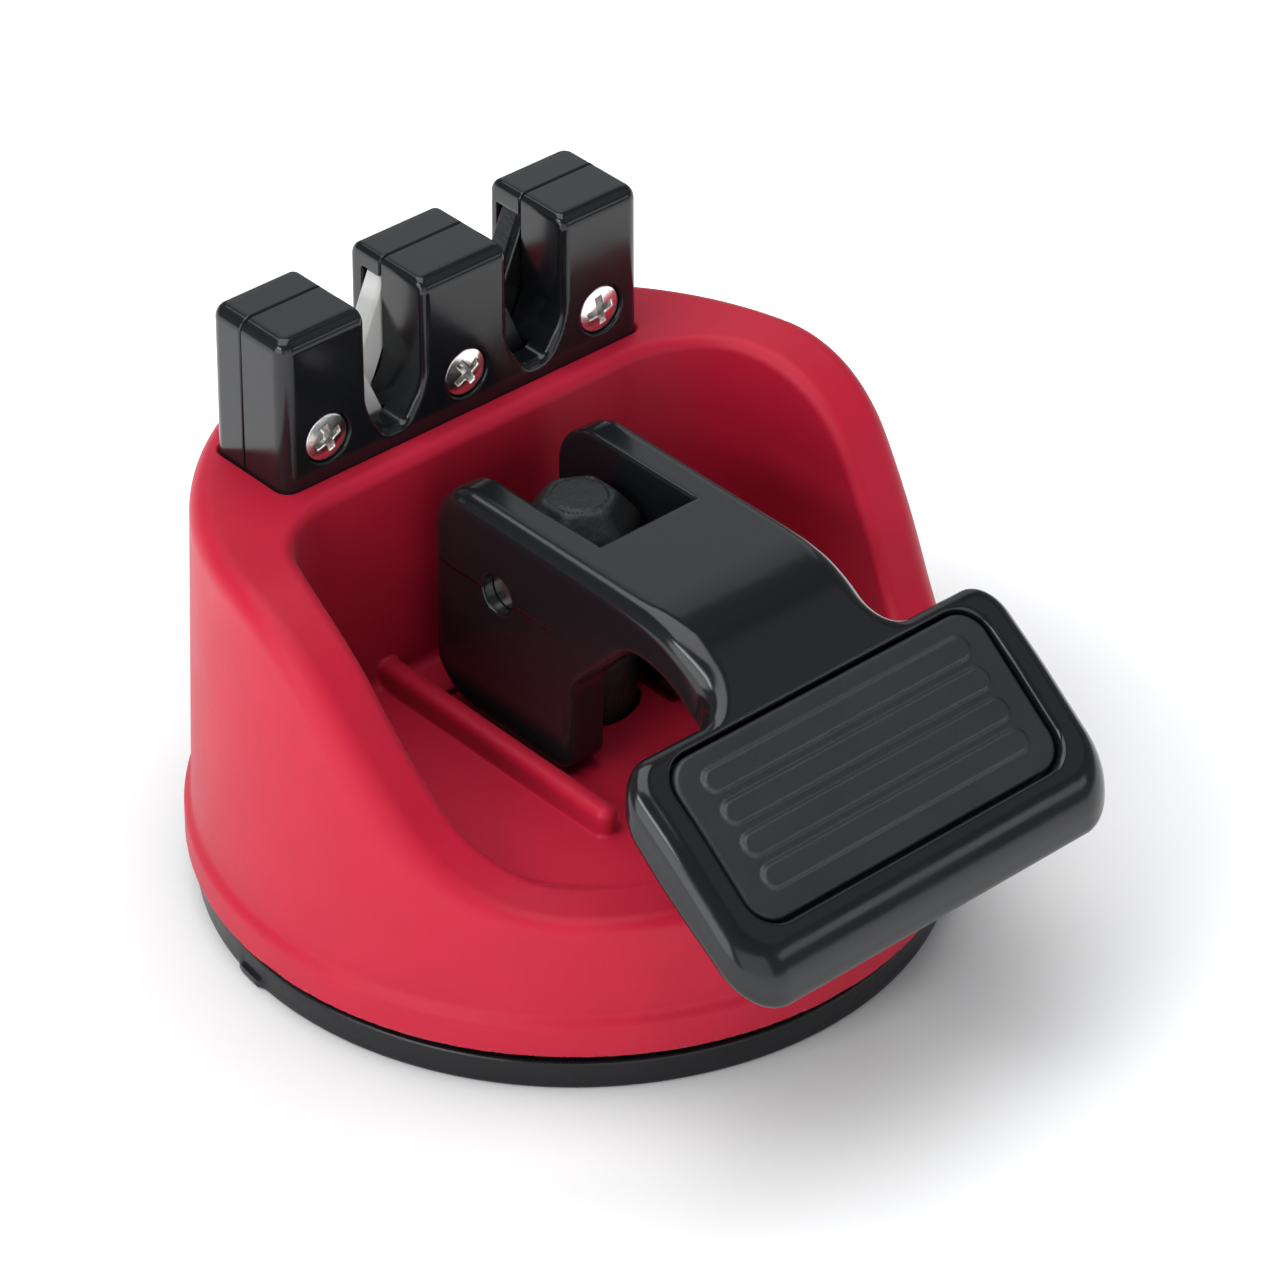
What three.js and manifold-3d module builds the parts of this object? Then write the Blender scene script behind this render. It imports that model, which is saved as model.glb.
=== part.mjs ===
// Two-slot knife sharpener on a lever-locked suction base, in millimetres, +Z up.
// +X runs along the sharpening block, and the lever's paddle points towards -Y. The lever is down, so
// the suction cup is locked. Every piece is drawn about the centre of the round base, on the surface
// it stands on. The finished group is then moved along Y, so its origin is the middle of its footprint.

import * as THREE from 'three';
import { mergeVertices } from 'three/addons/utils/BufferGeometryUtils.js';
import Module from 'manifold-3d';

const wasm = await Module();
wasm.setup();

// ---------- driving dimensions ----------

const fit = 0.15; // gap left between two pieces that are square to each other
const turnedFit = 0.3; // gap left between two pieces in a tilted group
const wall = 2.4; // wall thickness of the moulded housing

// housing
const flangeRadius = 38.8;
const flangeBottom = 4.6;
const flangeTop = 8.4;
const footRadius = 38.1; // drafted wall, at its foot
const crownRadius = 36.9; // drafted wall, at its top
const rearTop = 44.4; // flat crown that carries the sharpening block
const floorTop = 19.6; // level floor of the lever bay
const sweepRadius = 18; // both bends of the sweep from the crown down to the floor
const sweepAngle = THREE.MathUtils.degToRad(54);
const sweepRearY = 7.9;
const bayRadius = 30;
const bayCentreY = -3;
const bayBackY = 13;
const bayCornerRadius = 5.5;

// suction cup
const cupRadius = 37.8;
const cupRimTop = 3.2;
const cupNeckRadius = 36.8;
const cupNeckTop = 6;
const cupHoleRadius = 8.2;
const tabAngle = THREE.MathUtils.degToRad(172.7);

// stem and lever pin
const pinY = -0.7;
const pinZ = 36;
const pinRadius = 1.95;
const pinHoleRadius = 2.1;
const pinHalfLength = 9.2;
const stemRadius = 5.7;
const stemAcrossFlats = 10.8;
const stemTop = 43;
const stemShoulder = 40;
const stemFootRadius = 7.3;
const stemFootBottom = 3.5;
const stemFootTop = 5.2;

// lever
const leverHalfWidth = 10.4;
const cheekGap = 6; // half of the slot between the two cheeks
const slotFrontY = -10.4;
const armTop = 44.8;
const armThickness = 5.6;
const cheekBackY = 9.4;
const cheekFrontY = -11.2;
const cheekBottom = 20.1;
const camRadius = 7;
const camSeatDepth = 0.8; // the floor is let in under each cam
const bendRadius = 17;
const bendStartY = -20.8;
const paddleTilt = THREE.MathUtils.degToRad(37.8);
const paddleOrigin = new THREE.Vector3(0, -34.1, 39); // middle of the pad's upper edge
const padHalfWidth = 20;
const padLength = 18;
const padCornerRadius = 3.4;
const rimHeight = 0.5; // near rim above the pad's base plane; at the neck the two are level
const paddleHalfWidth = 24.2;
const paddleFarY = -31.2;
const paddleNearY = -51.8;
const paddleFarDepth = 6; // straight down, from the pad's base plane to the underside
const paddleNearDepth = 5;
const padDepth = 1.6;
const ribCount = 4;
const ribPitch = 3.43;
const ribHalfLength = 16.6;
const ribWidth = 2.3;

// sharpening block
const blockHalfLength = 22.8;
const blockFrontY = 15.75;
const partingY = 22.2;
const blockBackY = 27.05;
const blockBottom = 38.2;
const blockTop = 61.1;
const slotX = 8.9;
const slotHalfWidth = 3.5;
const slotBottom = 46.2;
const slotFlatHalfWidth = 1.25;
const slotShoulder = 49.6;
const topEdgeRadius = 1.5;
const screwX = 17.4;
const screwZ = 48.8;
const screwHeadRadius = 2.5;
const fixingScrewX = 13;
const fixingScrewY = 19.2;

// crossed bars in the slots
const barTilt = THREE.MathUtils.degToRad(23);
const barMeetZ = 49.4; // where the two upper faces cross, in the middle of a slot
const barBelow = 5;
const barAbove = 11;

const roundSegments = 64;
const smallSegments = 24;

// ---------- shared helpers ----------

// A closed three.js geometry as a manifold solid, for joins and cuts.
function solid(geometry) {
  const bare = geometry.index ? geometry.toNonIndexed() : geometry.clone();
  bare.deleteAttribute('normal');
  bare.deleteAttribute('uv');
  const merged = mergeVertices(bare);
  const corners = merged.index.array;
  const kept = [];
  for (let i = 0; i < corners.length; i += 3) {
    const [a, b, c] = [corners[i], corners[i + 1], corners[i + 2]];
    if (a !== b && b !== c && c !== a) kept.push(a, b, c);
  }
  return new wasm.Manifold(new wasm.Mesh({
    numProp: 3,
    vertProperties: merged.attributes.position.array,
    triVerts: new Uint32Array(kept),
  }));
}

function geometryOf(shape) {
  const mesh = shape.getMesh();
  const geometry = new THREE.BufferGeometry();
  geometry.setAttribute('position', new THREE.BufferAttribute(new Float32Array(mesh.vertProperties), 3));
  geometry.setIndex(new THREE.BufferAttribute(new Uint32Array(mesh.triVerts), 1));
  geometry.computeVertexNormals();
  return geometry;
}

// A box from its low and high corners.
function box(low, high) {
  const size = high.map((value, axis) => value - low[axis]);
  const middle = high.map((value, axis) => (value + low[axis]) / 2);
  return new THREE.BoxGeometry(...size).translate(...middle);
}

// A round piece along Z. Its profile lists [radius, height] pairs from the bottom up, outer side first.
function turned(profile, segments = roundSegments) {
  const points = profile.map(([radius, height]) => new THREE.Vector2(radius, height));
  return new THREE.LatheGeometry(points, segments).rotateX(Math.PI / 2);
}

// A plan outline raised from one height to another.
function raised(shape, low, high, curveSegments = 12) {
  return new THREE.ExtrudeGeometry(shape, { depth: high - low, bevelEnabled: false, curveSegments })
    .translate(0, 0, low);
}

// A side outline drawn in (Y, Z), as wide as two x values say.
function sideways(shape, lowX, highX, curveSegments = 8) {
  const turn = new THREE.Matrix4().makeBasis(
    new THREE.Vector3(0, 1, 0), new THREE.Vector3(0, 0, 1), new THREE.Vector3(1, 0, 0));
  return new THREE.ExtrudeGeometry(shape, { depth: highX - lowX, bevelEnabled: false, curveSegments })
    .applyMatrix4(turn)
    .translate(lowX, 0, 0);
}

// A front outline drawn in (X, Z), between two y values.
function frontways(shape, lowY, highY, curveSegments = 6) {
  return new THREE.ExtrudeGeometry(shape, { depth: highY - lowY, bevelEnabled: false, curveSegments })
    .rotateX(Math.PI / 2)
    .translate(0, highY, 0);
}

function alongY(radius, lowY, highY, x, z, segments = smallSegments) {
  return new THREE.CylinderGeometry(radius, radius, highY - lowY, segments)
    .translate(x, (lowY + highY) / 2, z);
}

function alongX(radius, halfLength, y, z, segments = smallSegments) {
  return new THREE.CylinderGeometry(radius, radius, 2 * halfLength, segments)
    .rotateZ(Math.PI / 2)
    .translate(0, y, z);
}

function alongZ(radius, lowZ, highZ, x, y, segments = smallSegments) {
  return new THREE.CylinderGeometry(radius, radius, highZ - lowZ, segments)
    .rotateX(Math.PI / 2)
    .translate(x, y, (lowZ + highZ) / 2);
}

function roundedRectangle(halfWidth, lowY, highY, radius) {
  const shape = new THREE.Shape();
  const right = halfWidth - radius;
  shape.absarc(right, lowY + radius, radius, -Math.PI / 2, 0, false);
  shape.absarc(right, highY - radius, radius, 0, Math.PI / 2, false);
  shape.absarc(-right, highY - radius, radius, Math.PI / 2, Math.PI, false);
  shape.absarc(-right, lowY + radius, radius, Math.PI, 1.5 * Math.PI, false);
  return shape;
}

// ---------- materials ----------

const redPlastic = new THREE.MeshStandardMaterial({ color: 0xb5202f, roughness: 0.62, metalness: 0 });
const blackPlastic = new THREE.MeshStandardMaterial({ color: 0x0b0c0d, roughness: 0.2, metalness: 0 });
const blackRubber = new THREE.MeshStandardMaterial({ color: 0x141516, roughness: 0.45, metalness: 0 });
const padPlastic = new THREE.MeshStandardMaterial({ color: 0x1e1f21, roughness: 0.7, metalness: 0 });
const steel = new THREE.MeshStandardMaterial({ color: 0xc9cacb, roughness: 0.25, metalness: 1 });
const ceramic = new THREE.MeshStandardMaterial({ color: 0xe9e9e6, roughness: 0.4, metalness: 0 });
const carbide = new THREE.MeshStandardMaterial({ color: 0x4c4e52, roughness: 0.35, metalness: 0.9 });

const sharpener = new THREE.Group();

function place(name, geometry, material, parent = sharpener) {
  const mesh = new THREE.Mesh(geometry, material);
  mesh.name = name;
  parent.add(mesh);
  return mesh;
}

// ---------- housing ----------

// Everything above the sweep that falls from the rear crown to the level floor, sunk by an inset.
function skyAbove(inset) {
  const fall = rearTop - floorTop;
  const bendFall = 2 * sweepRadius * (1 - Math.cos(sweepAngle));
  const straight = (fall - bendFall) / Math.sin(sweepAngle);
  const run = 2 * sweepRadius * Math.sin(sweepAngle) + straight * Math.cos(sweepAngle);
  const frontY = sweepRearY - run;
  const far = 60;
  const shape = new THREE.Shape();
  shape.moveTo(-far, floorTop - inset);
  shape.lineTo(frontY, floorTop - inset);
  shape.absarc(frontY, floorTop + sweepRadius, sweepRadius + inset, -Math.PI / 2, sweepAngle - Math.PI / 2, false);
  shape.absarc(sweepRearY, rearTop - sweepRadius, sweepRadius - inset, Math.PI / 2 + sweepAngle, Math.PI / 2, true);
  shape.lineTo(far, rearTop - inset);
  shape.lineTo(far, 70);
  shape.lineTo(-far, 70);
  return sideways(shape, -far, far);
}

// Plan outline of the lever bay, grown by an outset: a straight back, round corners, round sides.
function bayOutline(outset) {
  const cornerY = bayBackY - bayCornerRadius;
  const cornerReach = bayRadius - bayCornerRadius;
  const cornerX = Math.sqrt(cornerReach ** 2 - (cornerY - bayCentreY) ** 2);
  const meet = Math.atan2(cornerY - bayCentreY, cornerX);
  const corner = bayCornerRadius + outset;
  const shape = new THREE.Shape();
  shape.absarc(cornerX, cornerY, corner, Math.PI / 2, meet, true);
  shape.absarc(0, bayCentreY, bayRadius + outset, meet, -Math.PI - meet, true);
  shape.absarc(-cornerX, cornerY, corner, Math.PI - meet, Math.PI / 2, true);
  return shape;
}

function guideRib(side) {
  const plan = new THREE.Shape();
  const halfWidth = 1.2;
  const frontY = -19;
  plan.moveTo(halfWidth, bayBackY + 1);
  plan.lineTo(-halfWidth, bayBackY + 1);
  plan.absarc(0, frontY, halfWidth, Math.PI, 2 * Math.PI, false);
  return raised(plan, floorTop - 1, floorTop + 2.8).translate(side * 13, 0, 0);
}

function buildHousing() {
  const crownZ = rearTop + 1;
  const outer = solid(turned([[0, flangeBottom], [flangeRadius, flangeBottom], [flangeRadius, flangeTop],
    [footRadius, flangeTop + 0.2], [crownRadius, crownZ], [0, crownZ]]));
  const bay = solid(raised(bayOutline(0), floorTop, 70, 20));
  const recess = {
    low: [-blockHalfLength - fit, blockFrontY - fit, blockBottom - fit],
    high: [blockHalfLength + fit, blockBackY + fit, 70],
  };
  const recessCut = solid(box(recess.low, recess.high));

  // Hollow underside: a socket for the cup's neck, a ledge that sits on it, then the main cavity.
  const ledgeBottom = cupNeckTop + fit;
  const ledgeRadius = 33.6;
  const socketRadius = cupNeckRadius + fit;
  const cavityBounds = solid(turned([[0, 0], [socketRadius, 0], [socketRadius, ledgeBottom],
    [ledgeRadius, ledgeBottom], [ledgeRadius, ledgeBottom + wall], [footRadius - wall, ledgeBottom + wall],
    [crownRadius - wall, crownZ], [0, crownZ]]));
  const cavity = cavityBounds
    .subtract(solid(skyAbove(wall)))
    .subtract(solid(raised(bayOutline(wall), floorTop - wall, 70, 20)))
    .subtract(solid(box(recess.low.map((value) => value - wall), recess.high.map((value) => value + wall))));

  // The stem slides in a round guide under the floor.
  const guide = solid(alongZ(stemRadius + wall, floorTop - 8, floorTop - 1, 0, pinY, 40));
  const guideBore = solid(alongZ(stemRadius + 0.3, floorTop - 9, floorTop + 1, 0, pinY, 40));

  let housing = outer
    .subtract(cavity)
    .subtract(solid(skyAbove(0)))
    .subtract(bay)
    .subtract(recessCut)
    .add(guide)
    .subtract(guideBore);
  for (const side of [-1, 1]) {
    const seatX = [side * (cheekGap - 0.3), side * (leverHalfWidth + 0.3)].sort((a, b) => a - b);
    const camSeat = box([seatX[0], -8, floorTop - camSeatDepth], [seatX[1], 8, floorTop + 1]);
    const screwHole = alongZ(1.7, 30, 42, side * fixingScrewX, fixingScrewY);
    housing = housing.add(solid(guideRib(side))).subtract(solid(camSeat)).subtract(solid(screwHole));
  }
  return geometryOf(housing);
}

// ---------- suction cup and stem ----------

function buildSuctionCup() {
  const dish = new THREE.Path();
  dish.moveTo(cupHoleRadius, 3.6);
  dish.quadraticCurveTo(24, 3.2, 31, 0.3);
  const underside = dish.getPoints(4).map((point) => [point.x, point.y]);
  const back = new THREE.Path();
  back.moveTo(31, 2);
  back.quadraticCurveTo(24, 5, cupHoleRadius, 5.3);
  const topside = back.getPoints(4).map((point) => [point.x, point.y]);
  const ring = solid(turned([...underside, [34, 0], [cupRadius, 0], [cupRadius, cupRimTop],
    [cupNeckRadius, cupRimTop], [cupNeckRadius, cupNeckTop], [34, cupNeckTop], [33, 3], ...topside, underside[0]]));
  const tabPlan = roundedRectangle(2, cupRadius - 2, flangeRadius - 0.05, 0.8);
  const tab = raised(tabPlan, 0, 1.2, 4).rotateZ(tabAngle - Math.PI / 2);
  return geometryOf(ring.add(solid(tab)));
}

function hexagon(acrossFlats) {
  const radius = acrossFlats / 2 / Math.cos(Math.PI / 6);
  const corners = Array.from({ length: 6 }, (_, i) => {
    const angle = Math.PI / 2 + (i * Math.PI) / 3;
    return new THREE.Vector2(radius * Math.cos(angle), radius * Math.sin(angle));
  });
  return new THREE.Shape(corners);
}

// Round shank on a thin foot, with a six-sided head that is chamfered at the top and drilled for the pin.
function buildStem() {
  const headBottom = 29;
  const chamferHeight = stemTop - stemShoulder;
  const topScale = 0.6;
  const chamfer = new THREE.CylinderGeometry(topScale, 1, chamferHeight, 6)
    .rotateX(Math.PI / 2)
    .scale(stemAcrossFlats / 2 / Math.cos(Math.PI / 6), stemAcrossFlats / 2 / Math.cos(Math.PI / 6), 1)
    .translate(0, 0, stemShoulder + chamferHeight / 2);
  const shank = turned([[0, stemFootBottom], [stemFootRadius, stemFootBottom], [stemFootRadius, stemFootTop],
    [stemRadius, stemFootTop + 1.5], [stemRadius, headBottom], [0, headBottom]], 40);
  const stem = solid(shank)
    .add(solid(raised(hexagon(stemAcrossFlats), headBottom, stemShoulder)))
    .add(solid(chamfer))
    .subtract(solid(alongX(pinRadius + 0.1, 20, 0, pinZ)));
  return geometryOf(stem).translate(0, pinY, 0);
}

// ---------- lever ----------

// Height of the pad's tilted base plane at a given y.
function padPlaneZ(y) {
  return paddleOrigin.z + (y - paddleOrigin.y) * Math.tan(paddleTilt);
}

// Side outline of the whole lever: paddle, bend, arm and the cam cheeks below it.
function leverSide() {
  const bendCentreZ = armTop - bendRadius;
  const bendEnd = Math.PI / 2 + paddleTilt;
  const innerBend = bendRadius - armThickness;
  const rimRise = rimHeight / Math.cos(paddleTilt);
  const notchTopY = -19.2;
  const notchBottomZ = 30.6;
  const toeRadius = 2;
  const heelRadius = 4;
  const shape = new THREE.Shape();
  shape.moveTo(cheekBackY, cheekBottom + camRadius);
  shape.lineTo(cheekBackY, armTop - heelRadius);
  shape.absarc(cheekBackY - heelRadius, armTop - heelRadius, heelRadius, 0, Math.PI / 2, false);
  shape.absarc(bendStartY, bendCentreZ, bendRadius, Math.PI / 2, bendEnd, false);
  shape.lineTo(paddleFarY, padPlaneZ(paddleFarY));
  shape.lineTo(paddleNearY, padPlaneZ(paddleNearY) + rimRise);
  shape.lineTo(paddleNearY, padPlaneZ(paddleNearY) - paddleNearDepth);
  shape.lineTo(paddleFarY, padPlaneZ(paddleFarY) - paddleFarDepth);
  shape.absarc(bendStartY, bendCentreZ, innerBend, bendEnd, Math.PI / 2, true);
  shape.lineTo(notchTopY, armTop - armThickness);
  shape.lineTo(cheekFrontY, notchBottomZ);
  shape.lineTo(cheekFrontY, cheekBottom + toeRadius);
  shape.absarc(cheekFrontY + toeRadius, cheekBottom + toeRadius, toeRadius, Math.PI, 1.5 * Math.PI, false);
  shape.absarc(cheekBackY - camRadius, cheekBottom + camRadius, camRadius, -Math.PI / 2, 0, false);
  return shape;
}

// Plan outline of the whole lever: a narrow arm that flares into the wide paddle. All its sides are upright.
function leverPlan() {
  const nearCorner = 5;
  const farCorner = 4;
  const flareRadius = 2.8;
  const shape = new THREE.Shape();
  shape.absarc(paddleHalfWidth - nearCorner, paddleNearY + nearCorner, nearCorner, -Math.PI / 2, 0, false);
  shape.absarc(paddleHalfWidth - farCorner, paddleFarY - farCorner, farCorner, 0, Math.PI / 2, false);
  shape.absarc(leverHalfWidth + flareRadius, paddleFarY + flareRadius, flareRadius, -Math.PI / 2, -Math.PI, true);
  shape.lineTo(leverHalfWidth, cheekBackY + 1);
  shape.lineTo(-leverHalfWidth, cheekBackY + 1);
  shape.absarc(-leverHalfWidth - flareRadius, paddleFarY + flareRadius, flareRadius, 0, -Math.PI / 2, true);
  shape.absarc(farCorner - paddleHalfWidth, paddleFarY - farCorner, farCorner, Math.PI / 2, Math.PI, false);
  shape.absarc(nearCorner - paddleHalfWidth, paddleNearY + nearCorner, nearCorner, Math.PI, 1.5 * Math.PI, false);
  return shape;
}

function padOutline(inset) {
  return roundedRectangle(padHalfWidth - inset, inset - padLength, -inset, padCornerRadius - inset);
}

function buildLever() {
  const toPaddle = new THREE.Matrix4()
    .makeRotationX(paddleTilt)
    .setPosition(paddleOrigin);
  const padSeat = raised(padOutline(0), -padDepth - turnedFit, rimHeight + 1, 6).applyMatrix4(toPaddle);
  const betweenCheeks = box([-cheekGap, slotFrontY, 0], [cheekGap, 20, 60]);
  const belowWeb = box([-cheekGap, -20, 0], [cheekGap, 20, armTop - armThickness]);
  const lever = solid(sideways(leverSide(), -paddleHalfWidth - 1, paddleHalfWidth + 1))
    .intersect(solid(raised(leverPlan(), 0, 60, 6)))
    .subtract(solid(betweenCheeks))
    .subtract(solid(belowWeb))
    .subtract(solid(alongX(pinHoleRadius, 20, pinY, pinZ)))
    .subtract(solid(padSeat));
  return geometryOf(lever);
}

// Soft tread plate with raised ribs, drawn in the paddle's own plane.
function buildPad() {
  let pad = solid(raised(padOutline(turnedFit), -padDepth, 0, 6));
  for (let i = 0; i < ribCount; i += 1) {
    const middle = -3.1 - i * ribPitch;
    const outline = roundedRectangle(ribHalfLength, middle - ribWidth / 2, middle + ribWidth / 2, ribWidth / 2 - 0.01);
    pad = pad.add(solid(raised(outline, -0.5, 0.5, 4)));
  }
  return geometryOf(pad);
}

// ---------- sharpening block ----------

// Front outline of the block: three towers with two slots between them.
function blockOutline() {
  const shape = new THREE.Shape();
  const r = topEdgeRadius;
  const tower = (left, right) => {
    shape.lineTo(left, slotShoulder);
    shape.absarc(left + r, blockTop - r, r, Math.PI, Math.PI / 2, true);
    shape.absarc(right - r, blockTop - r, r, Math.PI / 2, 0, true);
  };
  const slotFoot = (middle) => {
    shape.lineTo(middle - slotHalfWidth, slotShoulder);
    shape.lineTo(middle - slotFlatHalfWidth, slotBottom);
    shape.lineTo(middle + slotFlatHalfWidth, slotBottom);
  };
  shape.moveTo(-blockHalfLength, blockBottom);
  tower(-blockHalfLength, -slotX - slotHalfWidth);
  slotFoot(-slotX);
  tower(-slotX + slotHalfWidth, slotX - slotHalfWidth);
  slotFoot(slotX);
  tower(slotX + slotHalfWidth, blockHalfLength);
  shape.lineTo(blockHalfLength, blockBottom);
  return shape;
}

// Where the four crossed bars lie. Rising bars lean to the right and sit in the rear half.
const ceramicSize = { width: 3, depth: 2.3 };
const carbideSize = { width: 3, depth: 2.9 };
const bars = [
  { name: 'ceramic_rod_rear', x: -slotX, lean: 1, rear: true, size: ceramicSize, material: ceramic },
  { name: 'ceramic_rod_front', x: -slotX, lean: -1, rear: false, size: ceramicSize, material: ceramic },
  { name: 'carbide_blade_rear', x: slotX, lean: 1, rear: true, size: carbideSize, material: carbide },
  { name: 'carbide_blade_front', x: slotX, lean: -1, rear: false, size: carbideSize, material: carbide },
];

// One bar grown by a margin, its upper long face passing through the meeting point of the slot.
function barGeometry(bar, margin) {
  const { width, depth } = bar.size;
  const nearY = bar.rear ? partingY + turnedFit / 2 : partingY - turnedFit / 2 - depth;
  return box([-margin, nearY - margin, -barBelow - margin], [width + margin, nearY + depth + margin, barAbove + margin])
    .rotateY(barTilt)
    .scale(bar.lean, 1, 1)
    .translate(bar.x, 0, barMeetZ);
}

// Mirroring turns a mesh inside out, so the mirrored bars get their faces turned back.
function barMesh(bar, margin) {
  const geometry = barGeometry(bar, margin);
  if (bar.lean < 0) geometry.index.array.reverse();
  return geometry;
}

function buildBlockHalf(rear) {
  const lowY = rear ? partingY + fit / 2 : blockFrontY;
  const highY = rear ? blockBackY : partingY - fit / 2;
  let half = solid(frontways(blockOutline(), lowY, highY));
  for (const bar of bars) {
    if (bar.rear === rear) half = half.subtract(solid(barMesh(bar, turnedFit)));
  }
  for (const x of [-screwX, 0, screwX]) {
    half = half.subtract(solid(alongY(1.45, blockFrontY - 1, blockBackY - 1, x, screwZ)));
    if (!rear) half = half.subtract(solid(alongY(screwHeadRadius + 0.1, blockFrontY - 1, blockFrontY + 1.7, x, screwZ)));
  }
  if (!rear) {
    for (const x of [-fixingScrewX, fixingScrewX]) {
      half = half.subtract(solid(alongZ(1.65, blockBottom - 1, blockBottom + 6.5, x, fixingScrewY)));
    }
  }
  return geometryOf(half);
}

// ---------- screws ----------

// A self-tapping screw pointing along +Z, its head's flat outer face at z = 0, with a cross recess.
function buildScrew(headRadius, headHeight, shankRadius, length) {
  const body = turned([[0, 0], [headRadius, 0], [headRadius, headHeight], [shankRadius, headHeight],
    [shankRadius, length - 1.2], [0.4, length], [0, length]], smallSegments);
  const reach = headRadius * 0.62;
  const half = headRadius * 0.13;
  const depth = headHeight * 0.6;
  return geometryOf(solid(body)
    .subtract(solid(box([-reach, -half, -1], [reach, half, depth])))
    .subtract(solid(box([-half, -reach, -1], [half, reach, depth]))));
}

// ---------- assembly ----------

place('housing', buildHousing(), redPlastic);
place('suction_cup', buildSuctionCup(), blackRubber);
place('cup_stem', buildStem(), blackRubber);
place('lever_pin', alongX(pinRadius, pinHalfLength, pinY, pinZ), steel);
place('lever', buildLever(), blackPlastic);

const paddle = new THREE.Group();
paddle.position.copy(paddleOrigin);
paddle.rotation.x = paddleTilt;
sharpener.add(paddle);
place('lever_pad', buildPad(), padPlastic, paddle);

place('block_front_half', buildBlockHalf(false), blackPlastic);
place('block_rear_half', buildBlockHalf(true), blackPlastic);
for (const bar of bars) place(bar.name, barMesh(bar, 0), bar.material);

const clampScrew = buildScrew(screwHeadRadius, 1.3, 1.3, 8.6);
['left', 'middle', 'right'].forEach((side, i) => {
  const screw = place(`clamp_screw_${side}`, clampScrew, steel);
  screw.rotation.x = -Math.PI / 2;
  screw.position.set((i - 1) * screwX, blockFrontY + 0.2, screwZ);
});

const fixingScrew = buildScrew(3, 1.8, 1.5, 10);
['left', 'right'].forEach((side, i) => {
  const screw = place(`fixing_screw_${side}`, fixingScrew, steel);
  screw.position.set((2 * i - 1) * fixingScrewX, fixingScrewY, blockBottom - fit - wall - 1.8 - fit);
});

// The paddle reaches past the base in front and the flange is the furthest point behind.
sharpener.position.y = -(flangeRadius + paddleNearY) / 2;

export default sharpener;
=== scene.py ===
"""Looks of the two-slot knife sharpener: moulded shapes, finishes, studio light and camera.

Shapes are signed distance fields in millimetres, drawn about the centre of the round base. Each field is
meshed, its points are moved onto the exact surface, and the mesh is placed in the frame, in metres.
"""

import math

import bmesh
import bpy
import numpy as np
from mathutils import Matrix, Vector


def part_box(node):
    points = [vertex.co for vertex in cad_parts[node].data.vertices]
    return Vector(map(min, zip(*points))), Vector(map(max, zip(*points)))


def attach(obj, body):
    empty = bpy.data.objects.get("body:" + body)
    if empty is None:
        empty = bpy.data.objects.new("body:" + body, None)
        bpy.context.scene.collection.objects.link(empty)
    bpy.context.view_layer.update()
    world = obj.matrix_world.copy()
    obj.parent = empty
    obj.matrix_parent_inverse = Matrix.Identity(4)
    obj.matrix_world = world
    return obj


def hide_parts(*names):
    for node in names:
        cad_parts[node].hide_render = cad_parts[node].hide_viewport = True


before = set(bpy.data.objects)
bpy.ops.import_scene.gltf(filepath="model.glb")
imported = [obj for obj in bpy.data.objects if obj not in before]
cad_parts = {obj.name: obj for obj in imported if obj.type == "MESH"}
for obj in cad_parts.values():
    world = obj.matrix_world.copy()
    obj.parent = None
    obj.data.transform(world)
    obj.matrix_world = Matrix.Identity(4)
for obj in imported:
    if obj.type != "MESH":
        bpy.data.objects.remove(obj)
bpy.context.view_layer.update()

MM = 0.001
housing_low, housing_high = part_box("housing")
BASE_Y = (housing_low.y + housing_high.y) / 2  # the base is round, so its middle is its centre

# ---------- sizes shared by several pieces, in millimetres ----------

FLANGE_R, FLANGE_LOW, FLANGE_TOP = 38.8, 4.6, 8.4
FOOT_R, CROWN_R = 38.1, 36.9
CROWN_Z, FLOOR_Z = 44.4, 19.6
SWEEP_R, SWEEP_ANGLE, SWEEP_REAR_Y = 18.0, math.radians(54.0), 7.9
BAY_R, BAY_CENTRE_Y, BAY_BACK_Y, BAY_CORNER_R = 30.0, -3.0, 13.0, 5.5
WALL = 2.6
RIB_X, RIB_FRONT_Y, RIB_HALF, RIB_TOP = 13.0, -19.0, 1.2, 22.4
CAM_SEAT_X, CAM_SEAT_HALF, CAM_SEAT_REACH, CAM_SEAT_Z = 8.2, 2.5, 8.0, 18.8
GUIDE_R, GUIDE_BOTTOM, STEM_BORE_R = 8.3, 11.6, 6.05
LEDGE_R, LEDGE_BOTTOM, LEDGE_TOP, SOCKET_R = 33.6, 6.15, 8.6, 36.95
CUP_R, CUP_TAB_ANGLE, CUP_TAB_REACH = 37.8, math.radians(172.7), 0.4
STEM_R, STEM_HALF_FLATS, STEM_TOP = 5.7, 5.4, 43.0
PIN_Y, PIN_Z, PIN_HOLE_R = -0.7, 36.0, 2.1
LEVER_HALF = 10.6
ARM_TOP, ARM_THICK = 44.8, 5.6
CHEEK_BACK_Y, CHEEK_FRONT_Y, CHEEK_BOTTOM, CHEEK_GAP_HALF = 9.4, -11.2, 20.1, 6.0
NOTCH_Z, NOTCH_RISE, NOTCH_RUN = 30.6, 8.6, 8.0  # slanted edge from the cheeks' front up to the arm
SLOT_FRONT_Y, WEB_FRONT_Y = -10.4, -20.0  # front ends of the open slot and of the hollow below the web
HEEL_R, CAM_R = 5.5, 7.0
BEND_Y, BEND_R = -20.8, 17.0
TILT = math.radians(37.8)
PAD_Y, PAD_Z = -34.1, 39.0  # middle of the pad's upper edge
PADDLE_HALF, PADDLE_FAR_Y, PADDLE_NEAR_Y = 24.2, -31.8, -51.8
PADDLE_FAR_CORNER, PADDLE_NEAR_CORNER, FLARE_R = 4.0, 5.0, 2.8
PAD_HALF, PAD_LENGTH, PAD_CORNER_R = 20.0, 18.0, 3.4
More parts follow.
